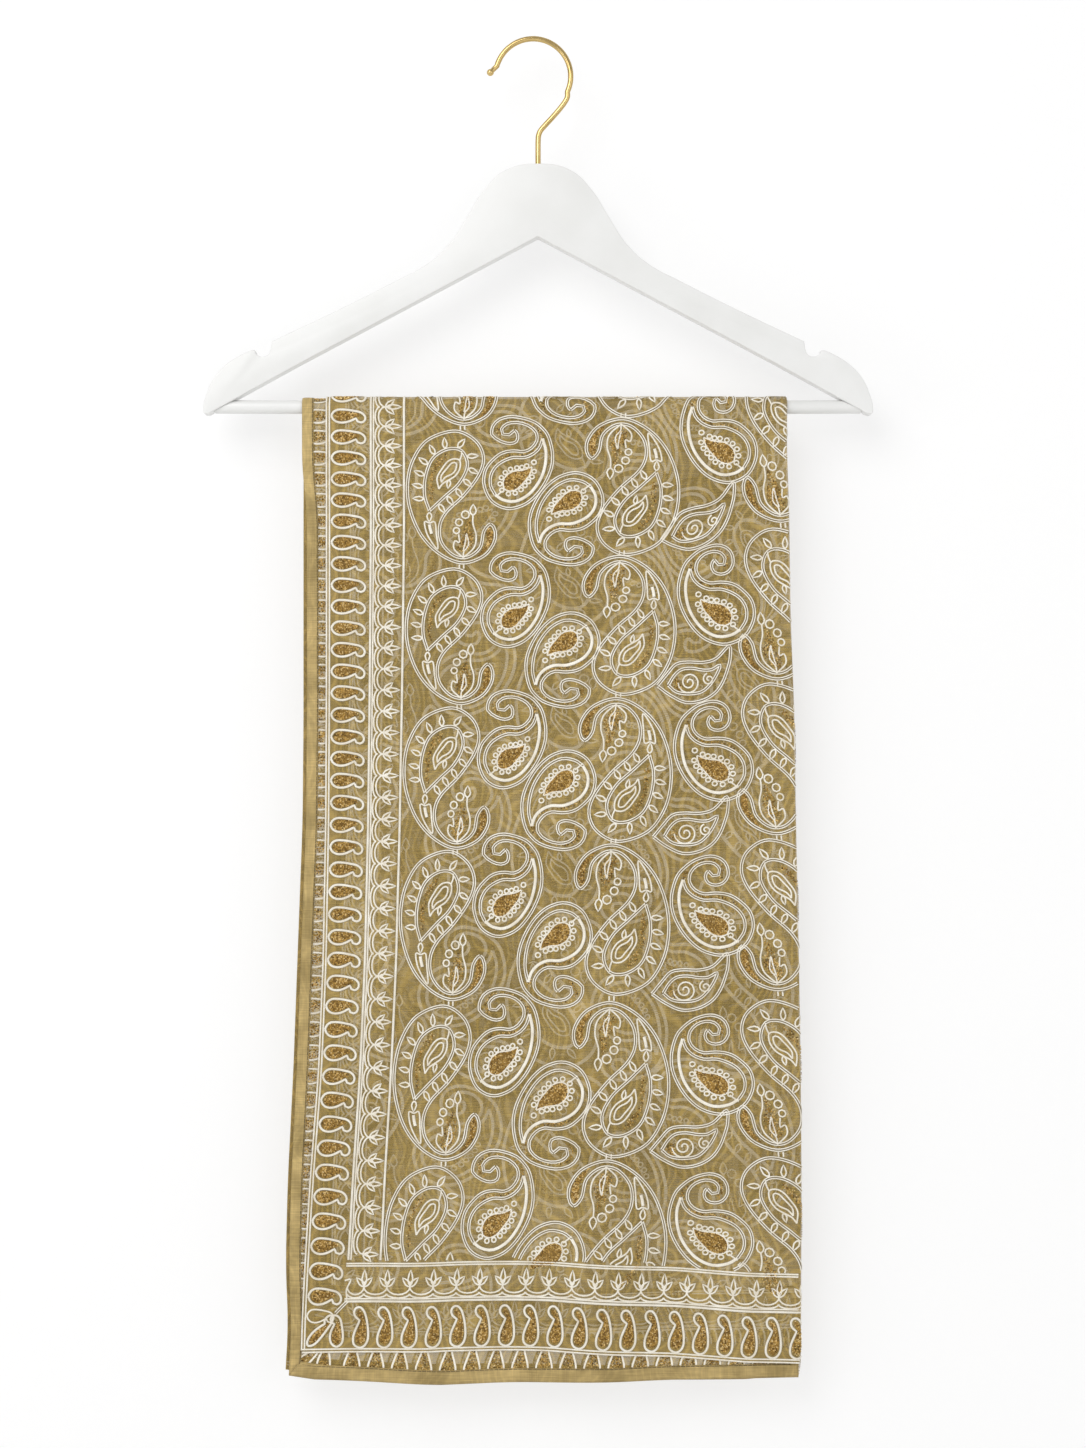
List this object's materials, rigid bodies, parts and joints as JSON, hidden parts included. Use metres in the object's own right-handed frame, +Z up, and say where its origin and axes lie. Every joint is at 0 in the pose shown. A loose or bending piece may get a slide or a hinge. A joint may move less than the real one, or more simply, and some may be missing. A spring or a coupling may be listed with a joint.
{
  "type": "dupatta stole on a wooden hanger",
  "caption": "Sheer khaki-gold dupatta stole with corded paisley embroidery, folded lengthwise and hung over the bar of a white wooden hanger with a brass-coloured hook.",
  "frame": {"origin": "the top of the inside of the hanger's hook, where a rail carries it", "axes": "+X to the right seen from the front, -Y towards the front, +Z up; the cloth hangs in the XZ plane"},
  "size_m": [0.4438, 0.0147, 0.8944],
  "materials": {
    "painted_wood": "white satin paint",
    "brass": "polished",
    "khaki_net": "sheer fine net with a soft lustre",
    "khaki_hem": "turned double hem, nearly opaque",
    "ivory_cord": "raised ivory cord embroidery",
    "gold_thread": "glittering gold thread filling"
  },
  "bodies": {
    "root": {"hanger_body": "painted_wood", "hanger_bar": "painted_wood", "hook": "brass", "front_outer_ply": "khaki_net", "front_inner_ply": "khaki_net", "front_fold": "khaki_net", "front_hem_side": "khaki_hem", "front_hem_bottom": "khaki_hem", "back_outer_ply": "khaki_net", "back_inner_ply": "khaki_net", "back_fold": "khaki_net", "back_hem_side": "khaki_hem", "back_hem_bottom": "khaki_hem", "bar_outer_ply": "khaki_net", "bar_inner_ply": "khaki_net", "bar_fold": "khaki_net", "bar_hem_side": "khaki_hem"}
  },
  "joints": []
}
